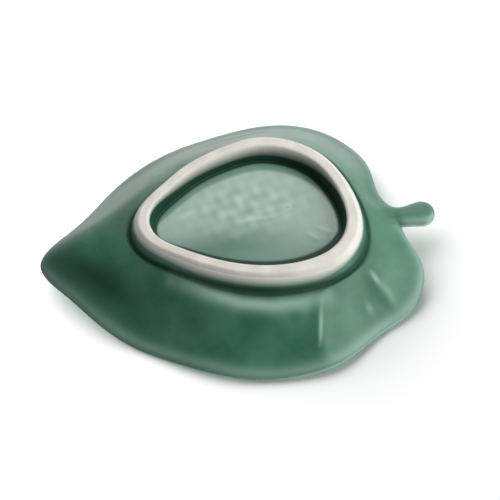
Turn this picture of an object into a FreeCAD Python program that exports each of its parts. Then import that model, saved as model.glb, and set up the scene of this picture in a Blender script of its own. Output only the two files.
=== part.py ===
import FreeCAD
import Part
import Sketcher
import math
import os
from FreeCAD import Vector

# Leaf-shaped ring dish of glazed ceramic, standing on its foot ring with the hollow upward.
# Millimetres, +Z up. The leaf's tip points to -X, its stem to +X, and z = 0 is the table.

doc = FreeCAD.newDocument("RingDish")

# Driving sizes of the finished dish
SIZES = [
    ("overall_length", 108.0, "tip of the leaf to the end of the stem"),
    ("overall_width", 82.3, "across the leaf at its widest"),
    ("overall_height", 20.3, "table to the highest waves of the rim"),
    ("stem_overhang", 5.65, "end of the stem past the farther lobe of the leaf"),
    ("tip_height", 15.1, "table to the rim at the tip"),
    ("notch_height", 12.7, "table to the rim at the stem"),
    ("wall_thickness", 3.5, "wall of the bowl with its glaze"),
    ("floor_thickness", 3.6, "floor of the bowl with its glaze"),
    ("floor_blend", 2.0, "soft bend between floor and inner wall"),
    ("rim_thickness", 2.6, "rounded edge of the rim with its glaze"),
    ("lip_width", 4.0, "flared lip, measured outward"),
    ("lip_fall", 4.8, "underside of the lip's inner edge below the rim"),
    ("wave_fall", 1.0, "rim between two waves below the waves"),
    ("wave_inset", 0.4, "rim between two waves inside the outline"),
    ("foot_tip_gap", 27.0, "tip of the leaf to the foot ring, at the table"),
    ("foot_stem_gap", 11.7, "foot ring to the notch of the leaf"),
    ("foot_side_gap", 18.6, "foot ring to either side of the leaf"),
    ("foot_side", -1.7, "middle of the foot ring beside the middle of the dish"),
    ("foot_height", 6.0, "foot ring, table to the underside of the clay floor"),
    ("foot_face", 3.3, "foot ring's width at the table before rounding"),
    ("foot_flare", 1.8, "outer foot wall wider at its top than at the table"),
    ("foot_draft", 0.5, "inner foot wall narrower at its top than at the table"),
    ("foot_rounding", 1.1, "rounded edges of the standing face"),
    ("foot_margin", 0.8, "flat underside left around the foot ring"),
    ("stem_neck", 3.9, "width of the stem at its root"),
    ("stem_neck_side", 1.4, "middle of the stem's root beside the middle of the dish"),
    ("stem_end", 7.7, "width of the stem's rounded end"),
    ("stem_end_side", 0.75, "middle of the stem's end beside the middle of the dish"),
    ("stem_root", 3.6, "stem's root inside the notch before it is trimmed"),
    ("stem_thickness", 3.9, "thickness of the stem with its glaze"),
    ("stem_drop", 2.1, "middle of the stem below the rim at the notch"),
    ("glaze", 0.4, "thickness of the glaze"),
    ("bare_height", 1.3, "bare clay above the table on both foot walls"),
]

sheet = doc.addObject("Spreadsheet::Sheet", "Sizes")
for row, (alias, value, note) in enumerate(SIZES, start=1):
    sheet.set(f"A{row}", note)
    sheet.set(f"B{row}", str(value))
    sheet.setAlias(f"B{row}", alias)
doc.recompute()


def size(alias):
    return float(sheet.get(alias))


# Outline of the leaf: shares of the blade's length from the tip and of half its width from the middle
TIP = (0.0, 0.0)
NEAR_EDGE = [
    (0.052, 0.235), (0.127, 0.453), (0.263, 0.704), (0.413, 0.915), (0.600, 1.000),
    (0.748, 0.950), (0.866, 0.750), (0.960, 0.612), (1.000, 0.400), (0.968, 0.170),
]
NOTCH = (0.950, -0.020)
FAR_EDGE = [
    (0.926, -0.166), (0.922, -0.410), (0.907, -0.637), (0.837, -0.862), (0.680, -1.000),
    (0.480, -0.945), (0.344, -0.828), (0.213, -0.611), (0.081, -0.232),
]

# Outline of the foot ring: shares of its length from its tip side and of half its width
FOOT_TIP = (0.0, 0.040)
NEAR_FOOT = [
    (0.035, 0.304), (0.121, 0.496), (0.278, 0.744), (0.470, 0.938), (0.657, 1.000),
    (0.790, 0.957), (0.923, 0.776), (0.986, 0.520),
]
FOOT_STEM_END = (1.0, 0.117)
FAR_FOOT = [
    (0.953, -0.348), (0.894, -0.621), (0.791, -0.853), (0.599, -1.000),
    (0.465, -0.938), (0.261, -0.714), (0.114, -0.424), (0.035, -0.219),
]

POINTS_PER_SIDE = 36

# Points that a closed outline repeats past its ends, so that it is smooth where it closes
OVERLAP = 6

# Rounds in which the poles of a closed spline settle
POLE_ROUNDS = 40

WAVES_PER_SIDE = 4
TIP_FALL_SHARE = 0.27
NOTCH_FALL_SHARE = 0.24

# The underside: its flat start as a share of the way to the rim, its belly as shares of the way to the lip
FLAT_SHARE = 0.06
BELLY_OUT_SHARE = 0.48
BELLY_UP_SHARE = 0.41

# On the near side the flat start is wider by this share, around this place between tip and notch
NEAR_FLAT_SHARE = 0.20
NEAR_FLAT_PLACE = 0.45
NEAR_FLAT_REACH = 0.28

# Beside the tip the underside is hollow on the near side and full on the far side,
# most of all at this share of the way from the tip to the notch
TWIST_SHARE = 0.12
TWIST_UP_SHARE = 0.18

# The inner wall is the outer one moved by the wall's thickness along this slanting direction
INWARD_SHARE = -0.5
UPWARD_SHARE = 0.87

# Rows of the bowl's skin that lie on its outer wall, up to the underside of the rim
OUTER_ROWS = 5

# Stem edges are rounded nearly to a half circle
STEM_EDGE_SHARE = 0.46

# The stem's trimming block reaches this far above the rim
TRIM_ABOVE = 5.0


def closed_poles(points):
    """Poles of the evenly knotted closed cubic spline through the points."""
    poles = list(points)
    for _ in range(POLE_ROUNDS):
        around = zip(points, poles[-1:] + poles[:-1], poles, poles[1:] + poles[:1])
        poles = [pole + (point - (before + pole * 4 + after) * (1 / 6)) * 1.5
                 for point, before, pole, after in around]
    return poles


def closed_spline(points):
    curve = Part.BSplineCurve()
    count = len(points)
    curve.buildFromPolesMultsKnots(closed_poles(points), [1] * (count + 1), list(range(count + 1)), True, 3)
    return curve


def chord_stations(points):
    """Distance run along a line of points at each of them."""
    stations = [0.0]
    for start, end in zip(points, points[1:]):
        stations.append(stations[-1] + (end - start).Length)
    return stations


def two_sided(points, turn):
    """Points evenly spaced along both sides of a closed outline, from its tip to its turn and back."""
    looped = points[-OVERLAP:] + points + points[:OVERLAP + 1]
    stations = chord_stations(looped)
    curve = Part.BSplineCurve()
    curve.interpolate(Points=looped, Parameters=stations)
    start, middle, end = [stations[OVERLAP + index] for index in (0, turn, len(points))]
    near = curve.toShape(start, middle).discretize(POINTS_PER_SIDE + 1)
    far = curve.toShape(middle, end).discretize(POINTS_PER_SIDE + 1)
    return near[:-1] + far[:-1]


def leaf_point(share):
    length = size("overall_length") - size("stem_overhang")
    return Vector(share[0] * length - size("overall_length") / 2, share[1] * size("overall_width") / 2, 0)


def leaf_outline():
    points = [leaf_point(share) for share in [TIP] + NEAR_EDGE + [NOTCH] + FAR_EDGE]
    return two_sided(points, len(NEAR_EDGE) + 1)


def foot_outline(growth):
    """Points around the foot at the table, with its ends and sides moved outward by growth."""
    left = leaf_point(TIP).x + size("foot_tip_gap") - growth
    right = leaf_point(NOTCH).x - size("foot_stem_gap") + growth
    half = size("overall_width") / 2 - size("foot_side_gap") + growth
    shares = [FOOT_TIP] + NEAR_FOOT + [FOOT_STEM_END] + FAR_FOOT
    points = [Vector(left + u * (right - left), size("foot_side") + v * half, 0) for u, v in shares]
    return two_sided(points, len(NEAR_FOOT) + 1)


def side_share(index):
    """Way from the tip to the notch, 0 to 1, on either side of the leaf."""
    return 1 - abs(POINTS_PER_SIDE - index) / POINTS_PER_SIDE


def bump(share):
    return math.cos(math.pi / 2 * share) ** 2 if share < 1 else 0.0


def wave(index):
    return (1 - math.cos(2 * math.pi * WAVES_PER_SIDE * side_share(index))) / 2


def flat_share(index):
    if index > POINTS_PER_SIDE:
        return FLAT_SHARE
    return FLAT_SHARE + NEAR_FLAT_SHARE * bump(abs(side_share(index) - NEAR_FLAT_PLACE) / NEAR_FLAT_REACH)


def twist(index):
    """Hollow beside the tip: 1 where it is deepest on the near side, -1 on the full far side."""
    share = side_share(index) if index < POINTS_PER_SIDE else -side_share(index)
    way = share / TWIST_SHARE
    return way * math.exp((1 - way ** 2) / 2)


def rim_fall(index):
    share = side_share(index)
    fall = (size("overall_height") - size("tip_height")) * bump(share / TIP_FALL_SHARE)
    fall += (size("overall_height") - size("notch_height")) * bump((1 - share) / NOTCH_FALL_SHARE)
    return fall + size("wave_fall") * wave(index)


def glazed_profile(index, out):
    """Section of the glazed wall: (outward, up) from the underside over the rim to the floor."""
    top = size("overall_height") - rim_fall(index)
    low = size("foot_height") - size("glaze")
    wall = size("wall_thickness")
    rim = size("rim_thickness")
    lip_start = (out - size("lip_width"), top - size("lip_fall"))
    flat = (flat_share(index) * out, low)
    belly = (
        flat[0] + BELLY_OUT_SHARE * (lip_start[0] - flat[0]),
        low + (BELLY_UP_SHARE + TWIST_UP_SHARE * twist(index)) * (lip_start[1] - low),
    )
    floor = low + size("floor_thickness")
    floor_edge = flat[0] + INWARD_SHARE * wall
    return [
        (0.0, low),
        flat,
        belly,
        lip_start,
        (out, top - rim),
        (out, top),
        (out - rim, top),
        (lip_start[0] + INWARD_SHARE * wall, lip_start[1] + UPWARD_SHARE * wall),
        (belly[0] + INWARD_SHARE * wall, belly[1] + UPWARD_SHARE * wall),
        (floor_edge, floor),
        (floor_edge - size("floor_blend"), floor),
    ]


def inset(profile, depth):
    """The profile moved into the wall by depth, to the left of its direction."""
    normals = []
    for (x0, z0), (x1, z1) in zip(profile, profile[1:]):
        run = math.hypot(x1 - x0, z1 - z0)
        normals.append((-(z1 - z0) / run, (x1 - x0) / run))
    moved = []
    for index, (x, z) in enumerate(profile):
        before = normals[max(index - 1, 0)]
        after = normals[min(index, len(normals) - 1)]
        share = depth / (1 + before[0] * after[0] + before[1] * after[1])
        moved.append((x + (before[0] + after[0]) * share, z + (before[1] + after[1]) * share))
    return moved


def bowl_rows(depth):
    """Rows around the bowl, depth below its glazed surface, from underside over rim to floor."""
    rim = leaf_outline()
    base = foot_outline(size("foot_flare") + size("foot_margin"))
    sections = []
    for index, (low, edge) in enumerate(zip(base, rim)):
        outward = edge - low
        out = outward.Length - size("wave_inset") * wave(index)
        outward.normalize()
        profile = inset(glazed_profile(index, out), depth)
        sections.append([low + outward * x + Vector(0, 0, z) for x, z in profile])
    return [list(row) for row in zip(*sections)]


def trim_rows():
    """Rows of the block that cuts off the stem inside the wall, and reaches well above the rim."""
    rows = bowl_rows(size("rim_thickness") / 2)[:OUTER_ROWS]
    above = size("overall_height") + TRIM_ABOVE
    rows.append([Vector(point.x, point.y, above) for point in rows[-1]])
    return rows


def skin_solid(rows):
    """Solid between a smooth skin along the rows and the flat faces in its first and last row."""
    poles = [list(column) for column in zip(*[closed_poles(row) for row in rows])]
    around = closed_spline(rows[0])
    degree = 2
    spans = len(rows) - degree
    up_knots = list(range(spans + 1))
    up_mults = [degree + 1] + [1] * (spans - 1) + [degree + 1]
    skin = Part.BSplineSurface()
    skin.buildFromPolesMultsKnots(
        poles, around.getMultiplicities(), up_mults, around.getKnots(), up_knots,
        True, False, around.Degree, degree,
    )
    wall = skin.toShape()
    ends = [edge for edge in wall.Edges if edge.isClosed()]
    shell = Part.makeShell([wall] + [Part.Face(Part.Wire([edge])) for edge in ends])
    shell.sewShape()
    return Part.Solid(shell)


def freeform(name, rows):
    item = doc.addObject("Part::Feature", name)
    item.Shape = skin_solid(rows)
    item.Placement = FreeCAD.Placement()
    return item


def plane(body, role):
    return next(item for item in body.Origin.OriginFeatures if item.Role == role)


def level_sketch(body, name, level):
    """An empty sketch on a level plane of the body."""
    sketch = body.newObject("Sketcher::SketchObject", name)
    sketch.AttachmentSupport = [(plane(body, "XY_Plane"), "")]
    sketch.MapMode = "FlatFace"
    sketch.setExpression("AttachmentOffset.Base.z", level)
    return sketch


def foot_sketch(body, name, growth, level):
    sketch = level_sketch(body, name, level)
    sketch.addGeometry(closed_spline(foot_outline(growth)), False)
    return sketch


def foot_loft(body, kind, name, growths, levels):
    """Loft between the foot's outlines, moved outward by the two growths at the two levels."""
    sections = [foot_sketch(body, name + end, growth, level)
                for end, growth, level in zip(("Low", "High"), growths, levels)]
    feature = body.newObject(kind, name)
    feature.Profile = sections[0]
    feature.Sections = sections[1:]
    doc.recompute()
    return feature


def glazed(growths, layer):
    """Growths of a foot wall with a layer of glaze, at the edge of the bare clay and at the foot's top."""
    rise = size("bare_height") / size("foot_height")
    return (growths[0] + (growths[1] - growths[0]) * rise + layer, growths[1] + layer)


def foot_block(name, growths, levels):
    body = doc.addObject("PartDesign::Body", name)
    foot_loft(body, "PartDesign::AdditiveLoft", name + "Loft", growths, levels)
    return body


def stem_block(name, layers):
    """Flat stalk with a rounded end and rounded edges, with so many layers of glaze taken off it."""
    body = doc.addObject("PartDesign::Body", name)
    sketch = level_sketch(body, name + "Plan", "Sizes.notch_height - Sizes.stem_drop")
    neck = size("stem_neck") / 2
    radius = size("stem_end") / 2
    centre = Vector(size("overall_length") / 2 - radius, size("stem_end_side"), 0)
    root = leaf_point(NOTCH).x - size("stem_root")
    middle = size("stem_neck_side")
    end = Part.ArcOfCircle(Part.Circle(centre, Vector(0, 0, 1), radius), -math.pi / 2, math.pi / 2)
    far = Vector(root, middle - neck, 0)
    near = Vector(root, middle + neck, 0)
    arc = sketch.addGeometry(end, False)
    far_side = sketch.addGeometry(Part.LineSegment(far, centre - Vector(0, radius, 0)), False)
    near_side = sketch.addGeometry(Part.LineSegment(centre + Vector(0, radius, 0), near), False)
    back = sketch.addGeometry(Part.LineSegment(near, far), False)
    rule = Sketcher.Constraint
    sketch.addConstraint([
        rule("Tangent", far_side, 2, arc, 1),
        rule("Tangent", arc, 2, near_side, 1),
        rule("Coincident", near_side, 2, back, 1),
        rule("Coincident", back, 2, far_side, 1),
        rule("Vertical", back),
    ])
    taken_off = f"{layers} * Sizes.glaze"
    notch = f"{NOTCH[0]} * (Sizes.overall_length - Sizes.stem_overhang) - Sizes.overall_length / 2"
    driven = [
        ("end_radius", rule("Radius", arc, radius), f"Sizes.stem_end / 2 - {taken_off}"),
        ("end_out", rule("DistanceX", -1, 1, arc, 3, centre.x),
         "(Sizes.overall_length - Sizes.stem_end) / 2"),
        ("end_side", rule("DistanceY", -1, 1, arc, 3, centre.y), "Sizes.stem_end_side"),
        ("root_out", rule("DistanceX", -1, 1, back, 1, root), f"{notch} - Sizes.stem_root + {taken_off}"),
        ("neck", rule("DistanceY", back, 2, back, 1, 2 * neck), f"Sizes.stem_neck - 2 * {taken_off}"),
        ("near_edge", rule("DistanceY", -1, 1, back, 1, middle + neck),
         f"Sizes.stem_neck_side + Sizes.stem_neck / 2 - {taken_off}"),
    ]
    for key, constraint, expression in driven:
        number = sketch.addConstraint(constraint)
        sketch.renameConstraint(number, key)
        sketch.setExpression(f"Constraints.{key}", expression)
    thickness = f"(Sizes.stem_thickness - 2 * {taken_off})"
    pad = body.newObject("PartDesign::Pad", name + "Pad")
    pad.Profile = sketch
    pad.Midplane = True
    pad.setExpression("Length", thickness)
    doc.recompute()
    edges = [f"Edge{number}" for number, edge in enumerate(pad.Shape.Edges, start=1)
             if edge.BoundBox.ZLength < size("glaze")]
    rounding = body.newObject("PartDesign::Fillet", name + "Edges")
    rounding.Base = (pad, edges)
    rounding.setExpression("Radius", f"{STEM_EDGE_SHARE} * {thickness}")
    doc.recompute()
    return body


def cut(name, base, tool):
    item = doc.addObject("Part::Cut", name)
    item.Base = base
    item.Tool = tool
    return item


def joined(name, items):
    item = doc.addObject("Part::MultiFuse", name)
    item.Shapes = items
    return item


# Clay bowl
bowl = freeform("Bowl", bowl_rows(size("glaze")))

# Clay foot ring: a flared block with a well through it and a rounded standing face
TABLE = "0 mm"
FOOT_TOP = "Sizes.foot_height"
outer = (0.0, size("foot_flare"))
inner = (-size("foot_face"), -size("foot_face") - size("foot_draft"))
foot = doc.addObject("PartDesign::Body", "Foot")
foot_loft(foot, "PartDesign::AdditiveLoft", "Outside", outer, (TABLE, FOOT_TOP))
well = foot_loft(foot, "PartDesign::SubtractiveLoft", "Well", inner, (TABLE, FOOT_TOP))
standing = [f"Edge{number}" for number, edge in enumerate(foot.Shape.Edges, start=1)
            if edge.BoundBox.ZMax < size("foot_rounding") / 2]
rounding = foot.newObject("PartDesign::Fillet", "StandingEdges")
rounding.Base = (well, standing)
rounding.setExpression("Radius", "Sizes.foot_rounding")

# Clay stem, trimmed in the wall and fitted to the bowl
trim = freeform("StemTrim", trim_rows())
stem = cut("Stem", cut("StemStalk", stem_block("StemClay", 1), trim), bowl)

# Glaze over everything outside the bare standing face
GLAZE_LINE = "Sizes.bare_height"
outer_glazed = foot_block("FootGlazed", glazed(outer, size("glaze")), (GLAZE_LINE, FOOT_TOP))
foot_filled = foot_block("FootFilled", outer, (TABLE, FOOT_TOP))
bowl_glazed = freeform("BowlGlazed", bowl_rows(0))
stem_glazed = cut("StemGlazed", stem_block("StemCoated", 0), trim)
dish_glazed = joined("DishGlazed", [bowl_glazed, outer_glazed, stem_glazed])
coat = cut("Coat", dish_glazed, joined("DishClay", [bowl, stem, foot_filled]))

# Glaze in the well of the foot ring
well_filled = foot_block("WellFilled", glazed(inner, 0.0), (GLAZE_LINE, FOOT_TOP))
WELL_FLOOR = "Sizes.foot_height - Sizes.glaze"
well_hollow = foot_block("WellHollow", glazed(inner, -size("glaze")), (GLAZE_LINE, WELL_FLOOR))
well_glaze = cut("WellGlaze", well_filled, well_hollow)

PIECES = {
    "leaf_bowl": bowl,
    "foot_ring": foot,
    "stem": stem,
    "glaze_coat": coat,
    "foot_well_glaze": well_glaze,
}
for label, item in PIECES.items():
    item.Label = label
doc.recompute()

for item in doc.Objects:
    if "Invalid" in item.State or "Error" in item.State:
        raise RuntimeError(f"{item.Name} did not build")
for label, item in PIECES.items():
    if item.Shape.isNull() or not item.Shape.isValid() or len(item.Shape.Solids) != 1:
        raise RuntimeError(f"{label} has no single valid solid")

os.makedirs("parts", exist_ok=True)
for label, item in PIECES.items():
    item.Shape.exportStep(f"parts/{label}.step")
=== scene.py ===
import math
import bpy
import numpy as np
from mathutils import Matrix, Vector
from mathutils.bvhtree import BVHTree


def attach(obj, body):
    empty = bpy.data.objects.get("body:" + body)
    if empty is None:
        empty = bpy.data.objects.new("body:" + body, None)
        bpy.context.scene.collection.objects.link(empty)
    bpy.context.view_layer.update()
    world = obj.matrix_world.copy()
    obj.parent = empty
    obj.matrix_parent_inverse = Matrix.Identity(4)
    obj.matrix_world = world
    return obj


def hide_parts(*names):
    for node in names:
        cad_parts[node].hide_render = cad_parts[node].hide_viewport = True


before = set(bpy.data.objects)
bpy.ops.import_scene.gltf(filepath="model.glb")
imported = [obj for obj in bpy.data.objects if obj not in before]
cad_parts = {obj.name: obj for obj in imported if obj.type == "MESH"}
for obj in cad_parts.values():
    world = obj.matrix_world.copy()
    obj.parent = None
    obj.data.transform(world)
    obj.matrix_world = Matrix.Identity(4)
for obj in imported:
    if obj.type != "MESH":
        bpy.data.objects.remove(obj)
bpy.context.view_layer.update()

# Leaf-shaped ring dish, glazed green all over except the standing face of its foot ring.
# Shapes are worked out in millimetres, in the frame of the solids, and turned into metres for each mesh.

MM = 0.001

# Sizes of the dish, the same as its solids have
LENGTH = 108.0
WIDTH = 82.3
HEIGHT = 20.3
STEM_OVERHANG = 5.65
TIP_HEIGHT = 15.1
NOTCH_HEIGHT = 12.7
WALL = 3.5
FLOOR_THICKNESS = 3.6
FLOOR_BLEND = 2.0
RIM = 2.6
LIP_WIDTH = 4.0
LIP_FALL = 4.8
WAVE_FALL = 1.0
WAVE_INSET = 0.4
FOOT_TIP_GAP = 27.0
FOOT_STEM_GAP = 11.7
FOOT_SIDE_GAP = 18.6
FOOT_SIDE = -1.7
FOOT_HEIGHT = 6.0
FOOT_FACE = 3.3
FOOT_FLARE = 1.8
FOOT_MARGIN = 0.8
STEM_NECK = 3.9
STEM_NECK_SIDE = 1.4
STEM_END = 7.7
STEM_END_SIDE = 0.75
STEM_ROOT = 3.6
STEM_THICKNESS = 3.9
STEM_DROP = 2.1
GLAZE = 0.4
BARE_HEIGHT = 1.3

# Outlines of the leaf and of its foot ring, as shares of their lengths and half widths
TIP = (0.0, 0.0)
NEAR_EDGE = [
    (0.052, 0.235), (0.127, 0.453), (0.263, 0.704), (0.413, 0.915), (0.600, 1.000),
    (0.748, 0.950), (0.866, 0.750), (0.960, 0.612), (1.000, 0.400), (0.968, 0.170),
]
NOTCH = (0.950, -0.020)
FAR_EDGE = [
    (0.926, -0.166), (0.922, -0.410), (0.907, -0.637), (0.837, -0.862), (0.680, -1.000),
    (0.480, -0.945), (0.344, -0.828), (0.213, -0.611), (0.081, -0.232),
]
FOOT_TIP = (0.0, 0.040)
NEAR_FOOT = [
    (0.035, 0.304), (0.121, 0.496), (0.278, 0.744), (0.470, 0.938), (0.657, 1.000),
    (0.790, 0.957), (0.923, 0.776), (0.986, 0.520),
]
FOOT_STEM_END = (1.0, 0.117)
FAR_FOOT = [
    (0.953, -0.348), (0.894, -0.621), (0.791, -0.853), (0.599, -1.000),
    (0.465, -0.938), (0.261, -0.714), (0.114, -0.424), (0.035, -0.219),
]
WAVES_PER_SIDE = 4
TIP_FALL_SHARE = 0.27
NOTCH_FALL_SHARE = 0.24
FLAT_SHARE = 0.06
NEAR_FLAT_SHARE = 0.20
NEAR_FLAT_PLACE = 0.45
NEAR_FLAT_REACH = 0.28
BELLY_OUT_SHARE = 0.48
BELLY_UP_SHARE = 0.41
TWIST_SHARE = 0.12
TWIST_UP_SHARE = 0.18
INWARD_SHARE = -0.5
UPWARD_SHARE = 0.87

# Fineness of the meshes
POINTS_PER_SIDE = 36
STEPS_PER_POINT = 7
POINTS = 2 * POINTS_PER_SIDE
AROUND = POINTS * STEPS_PER_POINT
STEPS_PER_SPAN = 12
FLOOR_STEPS = 48
BACK_STEP = 4
COAT_DEPTH = GLAZE - 0.02
WELL_DEPTH = GLAZE - 0.04

BLADE = LENGTH - STEM_OVERHANG
LOW = FOOT_HEIGHT - GLAZE
FLOOR = LOW + FLOOR_THICKNESS
BASE_GROWTH = FOOT_FLARE + FOOT_MARGIN
# Glaze on the outer foot wall: growth past the outline of the standing face, and level
OUTER_FOOT = [(0.42, BARE_HEIGHT - 0.1), (0.95, BARE_HEIGHT + 0.6), (1.75, LOW - 1.3), (2.1, LOW)]
FLAT_START_SHARE = 0.3


def closed_weights(run, steps):
    """Weights of a smooth closed line through points that lie so far apart, a block for each run."""
    count = len(run)
    start = np.eye(count)
    end = np.roll(start, -1, axis=0)
    slope = (end - start) / run[:, None]
    system = np.zeros((count, count))
    for index in range(count):
        before = (index - 1) % count
        system[index, before] += run[before]
        system[index, index] += 2 * (run[before] + run[index])
        system[index, (index + 1) % count] += run[index]
    bend = np.linalg.solve(system, 6 * (slope - np.roll(slope, 1, axis=0)))
    t = np.linspace(0, 1, steps + 1)[:-1, None]
    blocks = []
    for index in range(count):
        following = (index + 1) % count
        curved = ((1 - t) ** 3 - (1 - t)) * bend[index] + (t ** 3 - t) * bend[following]
        blocks.append((1 - t) * start[index] + t * end[index] + run[index] ** 2 / 6 * curved)
    return blocks


def closed_runs(points, steps=40):
    """Smooth closed line through the points: a list of dense runs, one from each point to the next."""
    points = np.array(points, float)
    run = np.linalg.norm(np.roll(points, -1, axis=0) - points, axis=1)
    return [block @ points for block in closed_weights(run, steps)]


def spaced(line, steps):
    """Points evenly spaced along a line, without its last point."""
    lengths = np.linalg.norm(np.diff(line, axis=0), axis=1)
    along = np.concatenate([[0], np.cumsum(lengths)])
    at = np.linspace(0, along[-1], steps + 1)[:-1]
    return np.column_stack([np.interp(at, along, line[:, axis]) for axis in range(2)])


def two_sided(points, turn):
    """Points evenly spaced along both sides of a closed outline, from its tip to its turn and back."""
    runs = closed_runs(points)
    near = np.concatenate(runs[:turn] + [runs[turn][:1]])
    far = np.concatenate(runs[turn:] + [runs[0][:1]])
    return np.concatenate([spaced(near, POINTS_PER_SIDE), spaced(far, POINTS_PER_SIDE)])


def leaf_outline():
    shares = [TIP] + NEAR_EDGE + [NOTCH] + FAR_EDGE
    points = [(u * BLADE - LENGTH / 2, v * WIDTH / 2) for u, v in shares]
    return two_sided(points, len(NEAR_EDGE) + 1)


def foot_outline(growth):
    left = FOOT_TIP_GAP - LENGTH / 2 - growth
    right = NOTCH[0] * BLADE - LENGTH / 2 - FOOT_STEM_GAP + growth
    half = WIDTH / 2 - FOOT_SIDE_GAP + growth
    shares = [FOOT_TIP] + NEAR_FOOT + [FOOT_STEM_END] + FAR_FOOT
    points = [(left + u * (right - left), FOOT_SIDE + v * half) for u, v in shares]
    return two_sided(points, len(NEAR_FOOT) + 1)


def bump(share):
    return np.where(share < 1, np.cos(math.pi / 2 * np.minimum(share, 1)) ** 2, 0.0)


def soft_step(value, start, end):
    """Smooth step from 0 at the start to 1 at the end."""
    way = np.clip((value - start) / (end - start), 0, 1)
    return way * way * (3 - 2 * way)


def at_level(plan, level):
    return np.column_stack([plan, np.full(len(plan), level)])


def spline_weights(count, samples):
    """Weights of a quadratic spline that starts and ends in its end points, one row for each sample."""
    knots = np.array([0, 0] + list(range(count - 1)) + [count - 2] * 2, float)
    at = np.linspace(0, count - 2 - 1e-9, samples)[:, None]
    weights = ((knots[:-1] <= at) & (at < knots[1:])).astype(float)
    for degree in (1, 2):
        size = len(knots) - degree - 1
        rise = np.maximum(knots[degree:degree + size] - knots[:size], 1e-12)
        fall = np.maximum(knots[degree + 1:degree + 1 + size] - knots[1:1 + size], 1e-12)
        up = (at - knots[:size]) / rise * weights[:, :size]
        down = (knots[degree + 1:degree + 1 + size] - at) / fall * weights[:, 1:1 + size]
        weights = up + down
    return weights


def smooth_rows(rows):
    """Fine rows of the smooth skin that the given rows of points control."""
    along = spline_weights(len(rows), (len(rows) - 2) * STEPS_PER_SPAN + 1)
    around = np.concatenate(closed_weights(np.ones(POINTS), STEPS_PER_POINT))
    return np.einsum("sr,ap,rpc->sac", along, around, np.array(rows), optimize=True)


def grid_normals(rows):
    """Unit normals of a skin of rows, on the side away from the clay."""
    around = np.roll(rows, -1, axis=1) - np.roll(rows, 1, axis=1)
    along = np.gradient(rows, axis=0)
    normals = np.cross(along, around)
    return normals / np.maximum(np.linalg.norm(normals, axis=2, keepdims=True), 1e-12)


def toward_centre(edge, centre, steps):
    """Rows from just inside a closed edge to just outside its centre."""
    shares = np.linspace(1, 0, steps + 1)[1:-1]
    return np.array([centre + (edge - centre) * share for share in shares])


def ring_faces(rows, around, first=0):
    """Quads between rows of points."""
    faces = []
    for row in range(rows - 1):
        low = first + row * around
        for index in range(around):
            after = (index + 1) % around
            faces.append((low + index, low + after, low + around + after, low + around + index))
    return faces


def cap_faces(ring, pole, around):
    return [(ring + index, ring + (index + 1) % around, pole) for index in range(around)]


def make_object(name, points, faces, marks):
    """Mesh object with smooth faces and one number per point for each mark."""
    mesh = bpy.data.meshes.new(name)
    mesh.from_pydata((np.array(points) * MM).tolist(), [], faces)
    mesh.validate()
    for key, values in marks.items():
        attribute = mesh.attributes.new(key, "FLOAT", "POINT")
        attribute.data.foreach_set("value", np.array(values, np.float32))
    mesh.shade_smooth()
    item = bpy.data.objects.new(name, mesh)
    bpy.context.scene.collection.objects.link(item)
    return item


def sheet_between(front, front_centre, back, back_centre):
    """Closed skin: the front's rows from its centre outward, then the back's rows to its centre."""
    rows = np.concatenate([front[::-1], back])
    count, around = rows.shape[:2]
    points = np.concatenate([rows.reshape(-1, 3), [front_centre, back_centre]])
    faces = ring_faces(count, around)
    faces += [face[::-1] for face in cap_faces(0, len(points) - 2, around)]
    faces += cap_faces((count - 1) * around, len(points) - 1, around)
    return points, faces


def line_distance(x, y, line):
    """Distance to a line of points, and the way along it from 0 to 1."""
    best = np.full(np.shape(x), np.inf)
    way = np.zeros(np.shape(x))
    runs = len(line) - 1
    for index in range(runs):
        (x0, y0), (x1, y1) = line[index], line[index + 1]
        length = (x1 - x0) ** 2 + (y1 - y0) ** 2
        t = np.clip(((x - x0) * (x1 - x0) + (y - y0) * (y1 - y0)) / length, 0, 1)
        distance = np.hypot(x - x0 - t * (x1 - x0), y - y0 - t * (y1 - y0))
        nearer = distance < best
        best = np.where(nearer, distance, best)
        way = np.where(nearer, (index + t) / runs, way)
    return best, way


def hill(value, middle, width):
    """Soft hill of height 1 over one measure."""
    return np.exp(-((value - middle) / width) ** 2)


def ridge(x, y, line, width):
    """Soft ridge of height 1 along a line, fading out at its ends."""
    distance, way = line_distance(x, y, line)
    return hill(distance, 0, width) * np.sin(math.pi * np.clip(way, 0.04, 0.96)) ** 0.5


def patch(x, y, middle, reach):
    """Soft round patch of height 1."""
    return hill(x, middle[0], reach[0]) * hill(y, middle[1], reach[1])


# Skin of the glaze over bowl and outer foot wall
rim = leaf_outline()
base = foot_outline(BASE_GROWTH)
number = np.arange(POINTS)
share = 1 - np.abs(POINTS_PER_SIDE - number) / POINTS_PER_SIDE
wave = (1 - np.cos(2 * math.pi * WAVES_PER_SIDE * share)) / 2
top = HEIGHT - WAVE_FALL * wave
top = top - (HEIGHT - TIP_HEIGHT) * bump(share / TIP_FALL_SHARE)
top = top - (HEIGHT - NOTCH_HEIGHT) * bump((1 - share) / NOTCH_FALL_SHARE)
twist_way = np.where(number < POINTS_PER_SIDE, share, -share) / TWIST_SHARE
twist = twist_way * np.exp((1 - twist_way ** 2) / 2)
reach = np.linalg.norm(rim - base, axis=1)
outward = (rim - base) / reach[:, None]
out = reach - WAVE_INSET * wave


def wall_row(distance, level):
    """Points so far outward from the foot, at a level."""
    return np.column_stack([base + outward * np.broadcast_to(distance, POINTS)[:, None],
                            np.broadcast_to(level, POINTS)])


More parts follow.
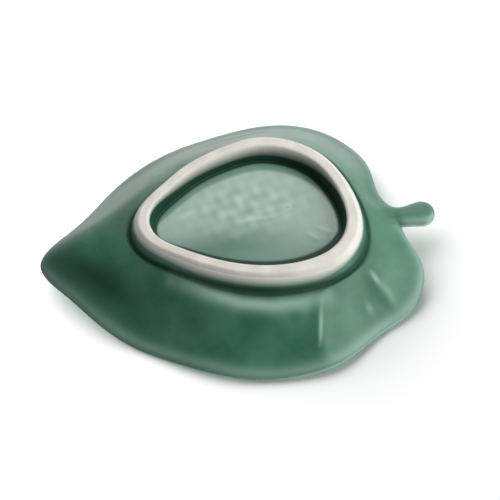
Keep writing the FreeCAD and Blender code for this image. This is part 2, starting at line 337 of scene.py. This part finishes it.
near_flat = NEAR_FLAT_SHARE * bump(np.abs(share - NEAR_FLAT_PLACE) / NEAR_FLAT_REACH)
flat = (FLAT_SHARE + np.where(number > POINTS_PER_SIDE, 0, near_flat)) * out
lip_out, lip_up = out - LIP_WIDTH, top - LIP_FALL
belly_out = flat + BELLY_OUT_SHARE * (lip_out - flat)
belly_up = LOW + (BELLY_UP_SHARE + TWIST_UP_SHARE * twist) * (lip_up - LOW)
floor_edge = flat + INWARD_SHARE * WALL
control = [at_level(foot_outline(growth), level) for growth, level in OUTER_FOOT]
control += [
    wall_row(flat * FLAT_START_SHARE, LOW),
    wall_row(flat, LOW),
    wall_row(belly_out, belly_up),
    wall_row(lip_out, lip_up),
    wall_row(out, top - RIM),
    wall_row(out, top),
    wall_row(out - RIM, top),
    wall_row(lip_out + INWARD_SHARE * WALL, lip_up + UPWARD_SHARE * WALL),
    wall_row(belly_out + INWARD_SHARE * WALL, belly_up + UPWARD_SHARE * WALL),
    wall_row(floor_edge, FLOOR),
    wall_row(floor_edge - FLOOR_BLEND, FLOOR),
]
RIM_ROW = 9
JUNCTION_ROW = 3
LIP_ROW = 7.4
plain_skin = smooth_rows(control)
floor_centre = plain_skin[-1].mean(axis=0)
plain_skin = np.concatenate([plain_skin, toward_centre(plain_skin[-1], floor_centre, FLOOR_STEPS)])
normals = grid_normals(plain_skin)
rows_at = (np.arange(len(plain_skin)) / STEPS_PER_SPAN)[:, None] * np.ones(AROUND)
x, y, z = np.moveaxis(plain_skin, 2, 0)

# Folds in the outer wall: height, width and line in plan
FOLDS = [
    (0.60, 2.2, [(17.8, 24.5), (17.4, 29.0), (16.4, 33.5), (17.2, 37.5)]),
    (0.60, 2.2, [(31.5, 17.5), (33.1, 20.3), (36.4, 23.0), (38.5, 26.0)]),
    (-0.25, 2.6, [(9.0, 27.0), (10.0, 32.0), (12.0, 37.5)]),
    (-0.30, 1.2, [(-14.0, -18.7), (-11.5, -23.0)]),
    (-0.25, 1.0, [(34.5, 18.1), (38.8, 16.9), (43.0, 16.6)]),
]
# Painted highlights along the crests of the folds: strength, width and line in plan
PAINTED_CREST_HIGHLIGHTS = [
    (0.75, 0.45, [(17.4, 28.0), (16.7, 32.0), (16.1, 35.5)]),
    (0.60, 0.6, [(32.3, 19.2), (33.1, 20.3), (34.2, 21.4)]),
    (0.30, 1.0, [(34.0, 21.2), (36.4, 23.0), (38.0, 25.0)]),
    (0.40, 0.8, [(30.4, 25.8), (31.8, 27.2)]),
]
# Veins pressed into the inside: the middle one, and pairs that leave it at these places
MIDRIB = [(41.0, 0.5), (20.0, -0.6), (0.0, -0.9), (-20.0, -0.5), (-46.0, 0.0)]
VEIN_ROOTS = [27.0, 14.0, 1.0, -11.0, -22.0, -32.0]
VEIN_STEPS = [(0.0, 0.0), (5.0, 8.0), (11.0, 16.0), (16.0, 25.0)]
VEIN_DEPTH = 0.25
VEIN_WIDTH = 0.9
MIDRIB_WIDTH = 1.4 * VEIN_WIDTH

wall_only = soft_step(rows_at, RIM_ROW, RIM_ROW - 1.5)
outer = soft_step(rows_at, JUNCTION_ROW + 0.7, JUNCTION_ROW + 1.7) * wall_only
inside = soft_step(rows_at, RIM_ROW + 1.0, RIM_ROW + 2.0)
vein = ridge(x, y, MIDRIB, MIDRIB_WIDTH)
for root in VEIN_ROOTS:
    for side in (-1, 1):
        line = [(root - along, side * across) for along, across in VEIN_STEPS]
        vein = np.maximum(vein, ridge(x, y, line, VEIN_WIDTH))
vein = vein * inside
relief = sum(height * ridge(x, y, line, width) for height, width, line in FOLDS) * outer - VEIN_DEPTH * vein
skin = plain_skin + normals * relief[:, :, None]

# Where the glaze is thin, where it has pooled, where it fades out on bare clay, and where light and shade are
# painted on
# Painted shade along the hollow by the tip
TIP_HOLLOW_SHADE = [(-52.0, -1.5), (-45.0, 3.5), (-39.0, 9.0), (-33.0, 15.0), (-27.0, 20.0)]
TIP_HOLLOW_SHADE_WIDTH = 5.0
# Painted highlight along the flat by the foot on the near side
NEAR_FLAT = [(-20.0, 14.5), (-11.0, 20.5), (-3.0, 24.5), (5.0, 26.4), (13.0, 26.4), (20.0, 25.0)]
NEAR_FLAT_PAINTED_HIGHLIGHT = 0.8
NEAR_FLAT_WIDTH = 1.8
LIP_THIN_FAR = 0.12
LIP_PAINTED_LIGHT_NEARER = 0.33
LIP_THIN_ROWS = 0.45
VEIN_POOL = 0.6
BARE_END = 3.9
BARE_START = 1.3
WALL_POOL_AND_SHADE_HEIGHT = 1.6
FLOOR_POOL_AND_SHADE_WIDTH = 0.7
from_foot = np.linalg.norm(plain_skin[:, :, :2] - plain_skin[JUNCTION_ROW * STEPS_PER_SPAN, :, :2], axis=2)
foot_wall = rows_at < JUNCTION_ROW
tip_side = soft_step(x, -12.0, -26.0)
stem_side = soft_step(x, 18.0, 30.0)
bare_end = BARE_END - 1.2 * tip_side - 1.5 * stem_side
bare_start = BARE_START - 0.5 * tip_side
bare = np.where(foot_wall, np.clip((bare_end - z) / (bare_end - bare_start), 0, 1), 0)
# Darker in the crease where the foot meets the wall: pooled glaze together with painted shade
corner = np.where(foot_wall, hill(z, LOW, WALL_POOL_AND_SHADE_HEIGHT), hill(from_foot, 0, FLOOR_POOL_AND_SHADE_WIDTH))
pooled_glaze_and_shade = np.where(rows_at < RIM_ROW, corner, 0)
# Painted shade in the tip hollow, and glaze pooled in the veins
pooled_glaze_and_shade = pooled_glaze_and_shade + ridge(x, y, TIP_HOLLOW_SHADE, TIP_HOLLOW_SHADE_WIDTH) * outer + VEIN_POOL * vein
pooled_glaze_and_shade = np.clip(pooled_glaze_and_shade, 0, 1)
# Paler lip: glaze thinning at the edge, with painted light added on the near side
pale_lip_and_painted_light = LIP_THIN_FAR + LIP_PAINTED_LIGHT_NEARER * soft_step(y, -4.0, 6.0)
thin_glaze_and_painted_light = pale_lip_and_painted_light * hill(rows_at, LIP_ROW, LIP_THIN_ROWS)
# Painted highlight along the near flat
thin_glaze_and_painted_light = thin_glaze_and_painted_light + NEAR_FLAT_PAINTED_HIGHLIGHT * ridge(x, y, NEAR_FLAT, NEAR_FLAT_WIDTH) * wall_only
# Painted highlights on the fold crests
for strength, width, line in PAINTED_CREST_HIGHLIGHTS:
    thin_glaze_and_painted_light = thin_glaze_and_painted_light + strength * ridge(x, y, line, width) * outer


def marked(field):
    """A number for each point of a sheet made by sheet_between."""
    rows = np.concatenate([field[::-1], field[::BACK_STEP]])
    return np.concatenate([rows.reshape(-1), [field[-1].mean(), field[-1].mean()]])


back = plain_skin[::BACK_STEP] - normals[::BACK_STEP] * COAT_DEPTH
coat_points, coat_faces = sheet_between(skin, floor_centre, back, floor_centre - [0, 0, COAT_DEPTH])
coat_marks = {"thin_glaze_and_painted_light": marked(thin_glaze_and_painted_light), "pooled_glaze_and_shade": marked(pooled_glaze_and_shade), "bare": marked(bare)}

# Skin of the glaze over the stem, flared where it grows out of the rim
STEM_AROUND = 72
FLARE_STEPS = 16
STEM_STEPS = 40
SETTLING_ROUNDS = 3
ROOT_DEPTH = 1.5
ROUNDNESS = 0.85
STEM_TIP = LENGTH / 2
NOTCH_OUT = NOTCH[0] * BLADE - LENGTH / 2
STEM_START = NOTCH_OUT - STEM_ROOT
END_CENTRE = STEM_TIP - STEM_END / 2
STEM_LEVEL = NOTCH_HEIGHT - STEM_DROP
STEM_REACH = STEM_TIP - STEM_START + 6.0
FLARE = {"far": 4.5, "near": 0.6, "under": 2.0, "top": 0.05}
# Painted shade on the stem's underside and a painted highlight along its near edge; STEM_THIN is its even
# thin glaze
STEM_PAINTED_SHADE = 0.4
STEM_THIN = 0.15
STEM_EDGE_PAINTED_HIGHLIGHT = 0.45
turn = np.linspace(0, 2 * math.pi, STEM_AROUND, endpoint=False)
side_turn = np.sign(np.cos(turn)) * np.abs(np.cos(turn)) ** ROUNDNESS
up_turn = np.sign(np.sin(turn)) * np.abs(np.sin(turn)) ** ROUNDNESS


def stem_shape(x):
    """Middle, half width and half thickness of the stem at a distance along it."""
    way = np.clip((x - STEM_START) / (END_CENTRE - STEM_START), 0, 1)
    middle_y = STEM_NECK_SIDE + (STEM_END_SIDE - STEM_NECK_SIDE) * way
    half = (STEM_NECK + (STEM_END - STEM_NECK) * way) / 2
    half = half * np.sqrt(np.clip(1 - np.maximum(0, (x - END_CENTRE) / (STEM_END / 2)) ** 2, 0, 1))
    edge = STEM_THICKNESS / 2
    thick = edge * np.sqrt(np.clip(1 - np.maximum(0, (x - STEM_TIP + edge) / edge) ** 2, 0, 1))
    return middle_y, half, thick


def stem_points(x):
    """Points around the stem, each at its own distance x along it."""
    middle_y, half, thick = stem_shape(x)
    return np.column_stack([x, middle_y + half * side_turn, STEM_LEVEL + thick * up_turn])


bowl_skin = BVHTree.FromPolygons(skin.reshape(-1, 3).tolist(), ring_faces(len(skin), AROUND))
leaning = np.column_stack([np.cos(turn) / STEM_NECK, np.sin(turn) / STEM_THICKNESS])
leaning = leaning / np.linalg.norm(leaning, axis=1)[:, None]
flare = np.zeros(STEM_AROUND)
for key, towards in (("near", leaning[:, 0]), ("far", -leaning[:, 0]),
                     ("top", leaning[:, 1]), ("under", -leaning[:, 1])):
    flare += FLARE[key] * np.clip(towards, 0, 1) ** 2
spread = np.column_stack([np.zeros(STEM_AROUND), leaning[:, 0], np.minimum(leaning[:, 1], 0)])
stem_rows = []
for step in range(FLARE_STEPS + 1):
    away = flare * (1 - step / FLARE_STEPS) ** 2
    at = np.full(STEM_AROUND, NOTCH_OUT)
    for _ in range(SETTLING_ROUNDS):
        row = stem_points(at) + spread * away[:, None]
        for index in range(STEM_AROUND):
            start = Vector((STEM_TIP, row[index, 1], row[index, 2]))
            hit = bowl_skin.ray_cast(start, Vector((-1, 0, 0)), STEM_REACH)[0]
            surface = hit.x if hit else STEM_START
            at[index] = surface + (math.sqrt(flare[index]) - math.sqrt(away[index])) ** 2
    row[:, 0] = at
    stem_rows.append(row)
start_x = stem_rows[-1][:, 0]
for step in range(1, STEM_STEPS):
    share_out = math.sin(math.pi / 2 * step / STEM_STEPS)
    stem_rows.append(stem_points(start_x + (STEM_TIP - start_x) * share_out))
lead_row = 2 * stem_rows[0] - stem_rows[1]
root_row = lead_row - [ROOT_DEPTH, 0, 0]
stem_rows = np.array([root_row, lead_row] + stem_rows)
stem_tip = np.array([STEM_TIP, STEM_END_SIDE, STEM_LEVEL])
stem_mesh = np.concatenate([stem_rows.reshape(-1, 3), [root_row.mean(axis=0), stem_tip]])
stem_faces = [face[::-1] for face in ring_faces(len(stem_rows), STEM_AROUND)]
stem_faces += cap_faces(0, len(stem_mesh) - 2, STEM_AROUND)
stem_faces += [face[::-1] for face in
               cap_faces((len(stem_rows) - 1) * STEM_AROUND, len(stem_mesh) - 1, STEM_AROUND)]
grown = soft_step(np.arange(len(stem_rows)), FLARE_STEPS, FLARE_STEPS + 8)[:, None]
# Painted shade on the stem's underside towards the far side, and a painted highlight along its near edge
stem_painted_shade = grown * STEM_PAINTED_SHADE * np.clip(-up_turn, 0, 1) ** 2 * hill(side_turn, -0.3, 0.45)
stem_thin_glaze_and_highlight = grown * (STEM_THIN + STEM_EDGE_PAINTED_HIGHLIGHT * hill(side_turn, 0.85, 0.3))
stem_marks = {"thin_glaze_and_painted_light": stem_thin_glaze_and_highlight, "pooled_glaze_and_shade": stem_painted_shade, "bare": 0 * stem_painted_shade}

shift = len(coat_points)
coat = make_object(
    "glaze_coat_skin",
    np.concatenate([coat_points, stem_mesh]),
    coat_faces + [tuple(shift + number for number in face) for face in stem_faces],
    {key: np.concatenate([coat_marks[key], stem_marks[key].reshape(-1), [0, 0]]) for key in coat_marks},
)

# Bare clay foot ring
ring_control = [
    (-2.0, 5.9), (1.6, 5.9), (0.9, 3.0), (0.0, 0.0), (-FOOT_FACE / 2, 0.0), (-FOOT_FACE, 0.0),
    (-FOOT_FACE - 0.18, 2.2), (-FOOT_FACE - 0.45, 5.9), (-2.0, 5.9),
]
ring_rows = smooth_rows([at_level(foot_outline(growth), level) for growth, level in ring_control])[:-1]
ring_points = ring_rows.reshape(-1, 3)
ring_quads = ring_faces(len(ring_rows), AROUND)
last = (len(ring_rows) - 1) * AROUND
ring_quads += [(last + index, last + (index + 1) % AROUND, (index + 1) % AROUND, index)
               for index in range(AROUND)]
foot = make_object("foot_ring_clay", ring_points, ring_quads, {})

# Glaze in the well of the foot ring: domed floor with faint ripples, streaks and a dot
WELL_FLOOR_ROW = 5
DOME = 0.3
MOTTLE_DEPTH = 0.008
MOTTLE_RIPPLES = [(4.3, 0.2, 0.0), (3.6, 1.3, 1.0), (5.4, 2.1, 2.2), (3.1, 2.8, 0.7), (6.5, 0.8, 4.0)]
WELL_STREAKS = [
    (0.02, 0.8, [(-15.6, -4.0), (-11.0, -6.4)]),
    (0.02, 0.7, [(-0.5, -0.2), (3.6, -1.0), (7.6, -0.8), (11.6, -1.8)]),
    (0.02, 0.7, [(17.7, 5.5), (20.7, 8.1)]),
    (0.02, 0.7, [(20.7, 4.0), (24.3, 6.6)]),
]
DOT = (13.8, -3.5)
DOT_HEIGHT = 0.04
DOT_WIDTH = 0.7
DOT_RING_RADIUS = 0.9
DOT_RING_WIDTH = 0.35
WELL_THIN = 0.52
inner = -FOOT_FACE
well_control = [
    (inner + 0.24, 0.2), (inner - 0.10, 0.75), (inner - 0.42, 1.7), (inner - 0.70, 3.0),
    (inner - 0.85, LOW - 1.0), (inner - 0.90, LOW), (inner - 2.4, LOW), (inner - 4.5, LOW),
]
plain_well = smooth_rows([at_level(foot_outline(growth), level) for growth, level in well_control])
well_centre = plain_well[-1].mean(axis=0)
plain_well = np.concatenate([plain_well, toward_centre(plain_well[-1], well_centre, FLOOR_STEPS)])
well_normals = -grid_normals(plain_well)
well_at = (np.arange(len(plain_well)) / STEPS_PER_SPAN)[:, None] * np.ones(AROUND)
x, y, z = np.moveaxis(plain_well, 2, 0)
ripple_and_painted_sheen = sum(np.cos(2 * math.pi / length * (x * math.cos(angle) + y * math.sin(angle)) + start)
             for length, angle, start in MOTTLE_RIPPLES) / 2
ripple_and_painted_sheen = ripple_and_painted_sheen * patch(x, y, (3.0, -6.0), (15.0, 8.0))
on_floor = soft_step(well_at, WELL_FLOOR_ROW, WELL_FLOOR_ROW + 1)
wall_line = plain_well[WELL_FLOOR_ROW * STEPS_PER_SPAN]
wall_reach = np.linalg.norm(wall_line - well_centre, axis=1)
toward_middle = 1 - np.linalg.norm(plain_well - well_centre, axis=2) / wall_reach
dome = DOME * (1 - (1 - np.clip(toward_middle, 0, 1)) ** 2)
streaks_and_painted_glints = sum(height * ridge(x, y, line, width) for height, width, line in WELL_STREAKS)
from_dot = np.hypot(x - DOT[0], y - DOT[1])
dot = DOT_HEIGHT * hill(from_dot, 0, DOT_WIDTH)
painted_dot_ring_glint = hill(from_dot, DOT_RING_RADIUS, DOT_RING_WIDTH)
raised = (dome + MOTTLE_DEPTH * ripple_and_painted_sheen + streaks_and_painted_glints + dot) * on_floor
well = plain_well + well_normals * raised[:, :, None]
well_middle = well_centre - [0, 0, DOME]

# In the well too the glaze is thin, pooled or bare, with light and shade painted on; a painted shadow line
# follows the near wall, partly behind the ring
# Painted shade over the near part of the floor
shaded = patch(x, y, (-1.0, 6.5), (14.0, 4.5))
near_side = soft_step(y, -2.0, 5.0)
far_side = soft_step(y, 2.0, -20.0)
from_wall = np.linalg.norm(plain_well[:, :, :2] - wall_line[:, :2], axis=2)
# Painted highlight on the floor along the far wall
painted_highlight_by_far_wall = far_side * hill(from_wall, 0, 3.0)
# Paler where the ripples, streaks and the ring round the dot would catch light: painted sheen and glints
well_thin_glaze_and_painted_light = WELL_THIN + 0.2 * ripple_and_painted_sheen + 16.0 * streaks_and_painted_glints + 0.3 * painted_dot_ring_glint
well_thin_glaze_and_painted_light = well_thin_glaze_and_painted_light - 0.5 * shaded + 0.25 * painted_highlight_by_far_wall
well_thin_glaze_and_painted_light = well_thin_glaze_and_painted_light * soft_step(well_at, WELL_FLOOR_ROW - 0.1, WELL_FLOOR_ROW + 0.5)
wall_run = np.roll(wall_line, -1, axis=0) - np.roll(wall_line, 1, axis=0)
# Floor width hidden behind the near ring, and the painted shadow line beside it
hidden = 3.6 * np.clip(wall_run[:, 0] / np.linalg.norm(wall_run, axis=1), 0, 1) - 1.6
painted_shadow_near_floor = near_side * soft_step(from_wall, hidden + 1.5, hidden + 0.7) * (well_at > WELL_FLOOR_ROW)
well_thin_glaze_and_painted_light = well_thin_glaze_and_painted_light * (1 - painted_shadow_near_floor)
# Glaze pooled on the well's wall, with the painted shadow line by the near wall
well_pooled_glaze_and_shade = np.maximum(soft_step(well_at, 0.3, 1.3), near_side)
well_pooled_glaze_and_shade = well_pooled_glaze_and_shade * soft_step(well_at, WELL_FLOOR_ROW + 0.35, WELL_FLOOR_ROW - 0.05)
well_pooled_glaze_and_shade = np.maximum(well_pooled_glaze_and_shade, painted_shadow_near_floor)
bare_end = 0.75 - 0.5 * near_side + 2.8 * far_side
well_bare = np.where(well_at < WELL_FLOOR_ROW, np.clip((bare_end - z) / (bare_end - 0.2), 0, 1), 0)
well_back = plain_well[::BACK_STEP] - well_normals[::BACK_STEP] * WELL_DEPTH
well_points, well_faces = sheet_between(well, well_middle, well_back, well_centre + [0, 0, WELL_DEPTH])
well_faces = [face[::-1] for face in well_faces]
well_glaze = make_object("foot_well_glaze_skin", well_points, well_faces,
                         {"thin_glaze_and_painted_light": marked(well_thin_glaze_and_painted_light), "pooled_glaze_and_shade": marked(well_pooled_glaze_and_shade), "bare": marked(well_bare)})


# Materials
def new_tree(name):
    material = bpy.data.materials.new(name)
    material.use_nodes = True
    tree = material.node_tree
    return material, tree, tree.nodes["Principled BSDF"]


def add(tree, kind, **settings):
    item = tree.nodes.new(kind)
    for key, value in settings.items():
        setattr(item, key, value)
    return item


def noise(tree, place, scale, detail=4.0):
    item = add(tree, "ShaderNodeTexNoise")
    item.inputs["Scale"].default_value = scale
    item.inputs["Detail"].default_value = detail
    tree.links.new(place, item.inputs["Vector"])
    return item.outputs["Fac"]


def mapped(tree, value, low, high, to_low, to_high):
    item = add(tree, "ShaderNodeMapRange")
    tree.links.new(value, item.inputs["Value"])
    for key, number in (("From Min", low), ("From Max", high), ("To Min", to_low), ("To Max", to_high)):
        item.inputs[key].default_value = number
    return item.outputs["Result"]


def mixed(tree, share_of_second, first, second):
    """Colour mix; a colour is a socket or three numbers."""
    item = add(tree, "ShaderNodeMix", data_type="RGBA")
    tree.links.new(share_of_second, item.inputs["Factor"])
    for key, colour in (("A", first), ("B", second)):
        socket = next(s for s in item.inputs if s.name == key and s.type == "RGBA")
        if isinstance(colour, tuple):
            socket.default_value = colour + (1.0,)
        else:
            tree.links.new(colour, socket)
    return next(s for s in item.outputs if s.type == "RGBA")


def mark(tree, key):
    return add(tree, "ShaderNodeAttribute", attribute_name=key).outputs["Fac"]


def bumped(tree, shader, height, strength, distance):
    item = add(tree, "ShaderNodeBump")
    item.inputs["Strength"].default_value = strength
    item.inputs["Distance"].default_value = distance
    tree.links.new(height, item.inputs["Height"])
    tree.links.new(item.outputs["Normal"], shader.inputs["Normal"])


CLAY_LIGHT = (0.60, 0.585, 0.54)
CLAY_DARK = (0.53, 0.505, 0.46)
# The pale green also paints highlights and the dark green also paints shade, beside thin and pooled glaze
GREEN_THIN_AND_HIGHLIGHT = (0.26, 0.40, 0.33)
GREEN_LIGHT = (0.048, 0.150, 0.098)
GREEN_MID = (0.026, 0.108, 0.066)
GREEN_DARK = (0.002, 0.030, 0.014)


def clay_material():
    material, tree, shader = new_tree("fired_clay")
    place = add(tree, "ShaderNodeTexCoord").outputs["Object"]
    cloud = noise(tree, place, 160.0)
    grain = noise(tree, place, 2600.0, 2.0)
    body = mixed(tree, mapped(tree, cloud, 0.35, 0.65, 0.0, 1.0), CLAY_LIGHT, CLAY_DARK)
    colour = mixed(tree, mapped(tree, grain, 0.62, 0.75, 0.0, 0.35), body, CLAY_DARK)
    tree.links.new(colour, shader.inputs["Base Color"])
    tree.links.new(mapped(tree, grain, 0.3, 0.7, 0.62, 0.8), shader.inputs["Roughness"])
    bumped(tree, shader, grain, 0.25, 0.0001)
    return material


def glaze_material():
    material, tree, shader = new_tree("celadon_glaze")
    place = add(tree, "ShaderNodeTexCoord").outputs["Object"]
    cloud = noise(tree, place, 90.0)
    fine = noise(tree, place, 700.0, 3.0)
    speck = noise(tree, place, 3200.0, 1.0)
    colour = mixed(tree, mapped(tree, cloud, 0.38, 0.62, 0.0, 1.0), GREEN_MID, GREEN_LIGHT)
    # Darker where the glaze has pooled and where shade is painted on, paler where it is thin and where light
    # is painted on
    pooled_glaze_and_shade = mark(tree, "pooled_glaze_and_shade")
    colour = mixed(tree, pooled_glaze_and_shade, colour, GREEN_DARK)
    colour = mixed(tree, mark(tree, "thin_glaze_and_painted_light"), colour, GREEN_THIN_AND_HIGHLIGHT)
    bare = mark(tree, "bare")
    colour = mixed(tree, bare, colour, CLAY_LIGHT)
    colour = mixed(tree, mapped(tree, speck, 0.70, 0.78, 0.0, 0.2), colour, GREEN_DARK)
    tree.links.new(colour, shader.inputs["Base Color"])
    rough = mapped(tree, fine, 0.3, 0.7, 0.14, 0.20)
    for matt, growth in ((bare, 0.5), (pooled_glaze_and_shade, 0.45)):
        grown_rough = add(tree, "ShaderNodeMath", operation="MULTIPLY_ADD")
        tree.links.new(matt, grown_rough.inputs[0])
        grown_rough.inputs[1].default_value = growth
        tree.links.new(rough, grown_rough.inputs[2])
        rough = grown_rough.outputs["Value"]
    tree.links.new(rough, shader.inputs["Roughness"])
    bumped(tree, shader, fine, 0.03, 0.0002)
    return material


clay = clay_material()
glaze = glaze_material()


def dress(item, material):
    item.data.materials.clear()
    item.data.materials.append(material)


for item in (coat, well_glaze):
    dress(item, glaze)
    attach(item, "root")
dress(foot, clay)
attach(foot, "root")
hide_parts("glaze_coat")
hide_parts("foot_well_glaze")
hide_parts("foot_ring")
for node in ("leaf_bowl", "stem"):
    dress(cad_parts[node], clay)

# Camera: the picture shows the dish upside down, so it looks up at the foot ring from below
ELEVATION = math.radians(56.80)
TURN = math.radians(8.657)
CAMERA_DISTANCE = 424.8
PIXELS_PER_MM = 3.617
PICTURE_WIDTH = 500
SENSOR = 36.0
TIP_IN_VIEW = (-56.48, -9.52)


def turned(x, y, z):
    """A direction in the picture's room, with x to the right, y away and z up, in the dish's frame."""
    along = x * math.cos(TURN) + y * math.sin(TURN)
    across = y * math.cos(TURN) - x * math.sin(TURN)
    return Vector((along, -across, -z))


def placed(x, y, z):
    """A point in the picture's room, in the dish's frame, both in millimetres."""
    return turned(x - TIP_IN_VIEW[0], y - TIP_IN_VIEW[1], z) + Vector((-LENGTH / 2, 0, HEIGHT))


camera_data = bpy.data.cameras.new("camera")
camera_data.sensor_width = SENSOR
camera_data.lens = SENSOR * PIXELS_PER_MM * CAMERA_DISTANCE / PICTURE_WIDTH
camera_data.clip_start = 0.01
camera_data.clip_end = 100.0
camera = bpy.data.objects.new("camera", camera_data)
bpy.context.scene.collection.objects.link(camera)
backward = turned(0, -math.cos(ELEVATION), math.sin(ELEVATION))
upward = turned(0, math.sin(ELEVATION), math.cos(ELEVATION))
rightward = turned(1, 0, 0)
spot = placed(0, -CAMERA_DISTANCE * math.cos(ELEVATION), CAMERA_DISTANCE * math.sin(ELEVATION)) * MM
camera.matrix_world = Matrix((
    (rightward.x, upward.x, backward.x, spot.x),
    (rightward.y, upward.y, backward.y, spot.y),
    (rightward.z, upward.z, backward.z, spot.z),
    (0, 0, 0, 1),
))
bpy.context.scene.camera = camera
bpy.context.scene.view_settings.view_transform = "Standard"

# Stage: a pale floor under the foot, and one on the rim's side for the upside-down picture
FLOOR_SIZE = 6.0


def floor(name, level, facing, paper, glow):
    """Plain floor that shows only from the side it faces and doesn't shade the dish."""
    half = FLOOR_SIZE / 2
    corners = [(-half, -half, level), (half, -half, level), (half, half, level), (-half, half, level)]
    mesh = bpy.data.meshes.new(name)
    mesh.from_pydata(corners, [], [(0, 1, 2, 3) if facing > 0 else (3, 2, 1, 0)])
    item = bpy.data.objects.new(name, mesh)
    bpy.context.scene.collection.objects.link(item)
    item.visible_shadow = False
    item.visible_diffuse = False
    item.visible_glossy = False
    material, tree, shader = new_tree(name + "_paper")
    shader.inputs["Base Color"].default_value = (paper, paper, paper, 1.0)
    shader.inputs["Roughness"].default_value = 1.0
    shader.inputs["Specular IOR Level"].default_value = 0.0
    shader.inputs["Emission Color"].default_value = (1.0, 1.0, 1.0, 1.0)
    shader.inputs["Emission Strength"].default_value = glow
    clear = add(tree, "ShaderNodeBsdfTransparent")
    behind = add(tree, "ShaderNodeNewGeometry").outputs["Backfacing"]
    choice = add(tree, "ShaderNodeMixShader")
    tree.links.new(behind, choice.inputs["Fac"])
    tree.links.new(shader.outputs["BSDF"], choice.inputs[1])
    tree.links.new(clear.outputs["BSDF"], choice.inputs[2])
    tree.links.new(choice.outputs["Shader"], tree.nodes["Material Output"].inputs["Surface"])
    mesh.materials.append(material)
    return item


floor("table_floor", 0.0, 1, 0.5, 0.6)
picture_floor = floor("picture_floor", HEIGHT * MM, -1, 0.9, 0.05)


# Light
def soft_light(name, at, width, height, power, mirrored=True, lit=()):
    """Soft box that shines at the dish, or only at what is lit; one not mirrored gives no highlight."""
    data = bpy.data.lights.new(name, "AREA")
    data.shape = "RECTANGLE"
    data.size = width
    data.size_y = height
    data.energy = power
    item = bpy.data.objects.new(name, data)
    bpy.context.scene.collection.objects.link(item)
    item.location = at
    item.rotation_mode = "QUATERNION"
    item.rotation_quaternion = (Vector((0, 0, HEIGHT / 2 * MM)) - Vector(at)).to_track_quat("-Z", "Y")
    item.visible_glossy = mirrored
    if lit:
        item.light_linking.receiver_collection = bpy.data.collections.new(name + "_lit")
        for receiver in lit:
            item.light_linking.receiver_collection.objects.link(receiver)


above_far_edge = turned(0.02, 0.43, 0.47)
at_right = turned(0.45, -0.12, 0.28)
at_far_left = turned(-0.28, 0.30, 0.38)
above_table = (0.35, 0.18, 0.55)
soft_light("picture_key", above_far_edge, 0.40, 0.26, 1.4, lit=[well_glaze])
soft_light("picture_top", above_far_edge, 0.40, 0.26, 2.4, mirrored=False, lit=[coat, foot])
soft_light("picture_side", at_right, 0.40, 0.40, 3.4, mirrored=False, lit=[coat, well_glaze, foot])
soft_light("picture_shadow", at_far_left, 0.80, 0.80, 7.4, mirrored=False, lit=[picture_floor])
soft_light("table_key", above_table, 0.45, 0.45, 3.5, mirrored=False)

# Surroundings: bright on the side of the bowl's hollow and dim on the side of the foot, both dimmer in
# reflections, where soft bright walls show instead; the camera itself sees white.
# A wall has its direction, the closeness to it where it starts and is full, and its brightness.
HOLLOW_SIDE = 0.9
HOLLOW_MIRRORED = 0.3
DIM_SIDE = 0.32
DIM_MIRRORED = 0.08
BRIGHT_WALLS = [
    (turned(0.0, 1.0, 0.15), 0.50, 1.0, 1.3),
    (turned(0.90, -0.10, 0.45), 0.50, 1.0, 1.9),
    ((0.40, 0.50, 0.75), 0.70, 1.0, 1.5),
]
world = bpy.data.worlds.new("studio")
world.use_nodes = True
bpy.context.scene.world = world
world_tree = world.node_tree
direction = add(world_tree, "ShaderNodeTexCoord").outputs["Generated"]


def number_of(kind, first, second):
    """Node that works out a number from two numbers, or a number and a socket."""
    item = add(world_tree, "ShaderNodeMath", operation=kind)
    for socket, value in zip(item.inputs, (first, second)):
        if isinstance(value, float):
            socket.default_value = value
        else:
            world_tree.links.new(value, socket)
    return item.outputs["Value"]


def facing(towards):
    item = add(world_tree, "ShaderNodeVectorMath", operation="DOT_PRODUCT")
    world_tree.links.new(direction, item.inputs[0])
    item.inputs[1].default_value = Vector(towards).normalized()
    return item.outputs["Value"]


def soft_mapped(value, low, high, to_high):
    result = mapped(world_tree, value, low, high, 0.0, to_high)
    result.node.interpolation_type = "SMOOTHSTEP"
    return result


def either_number(share_of_second, first, second):
    item = add(world_tree, "ShaderNodeMix", data_type="FLOAT")
    numbers = [socket for socket in item.inputs if socket.type == "VALUE"]
    for socket, value in zip(numbers, (share_of_second, first, second)):
        if isinstance(value, float):
            socket.default_value = value
        else:
            world_tree.links.new(value, socket)
    return next(socket for socket in item.outputs if socket.type == "VALUE")


paths = add(world_tree, "ShaderNodeLightPath")
above = soft_mapped(facing((0, 0, 1)), -0.15, 0.15, 1.0)
mirrored_light = either_number(above, DIM_MIRRORED, HOLLOW_MIRRORED)
for towards, start, end, bright in BRIGHT_WALLS:
    mirrored_light = number_of("ADD", mirrored_light, soft_mapped(facing(towards), start, end, bright))
scattered_light = either_number(above, DIM_SIDE, HOLLOW_SIDE)
brightness = either_number(paths.outputs["Is Glossy Ray"], scattered_light, mirrored_light)
sky = world_tree.nodes["Background"]
sky.inputs["Color"].default_value = (1.0, 1.0, 1.0, 1.0)
world_tree.links.new(brightness, sky.inputs["Strength"])
seen = add(world_tree, "ShaderNodeBackground")
seen.inputs["Color"].default_value = (1.0, 1.0, 1.0, 1.0)
straight = paths.outputs["Is Camera Ray"]
either = add(world_tree, "ShaderNodeMixShader")
world_tree.links.new(straight, either.inputs["Fac"])
world_tree.links.new(sky.outputs["Background"], either.inputs[1])
world_tree.links.new(seen.outputs["Background"], either.inputs[2])
world_tree.links.new(either.outputs["Shader"], world_tree.nodes["World Output"].inputs["Surface"])
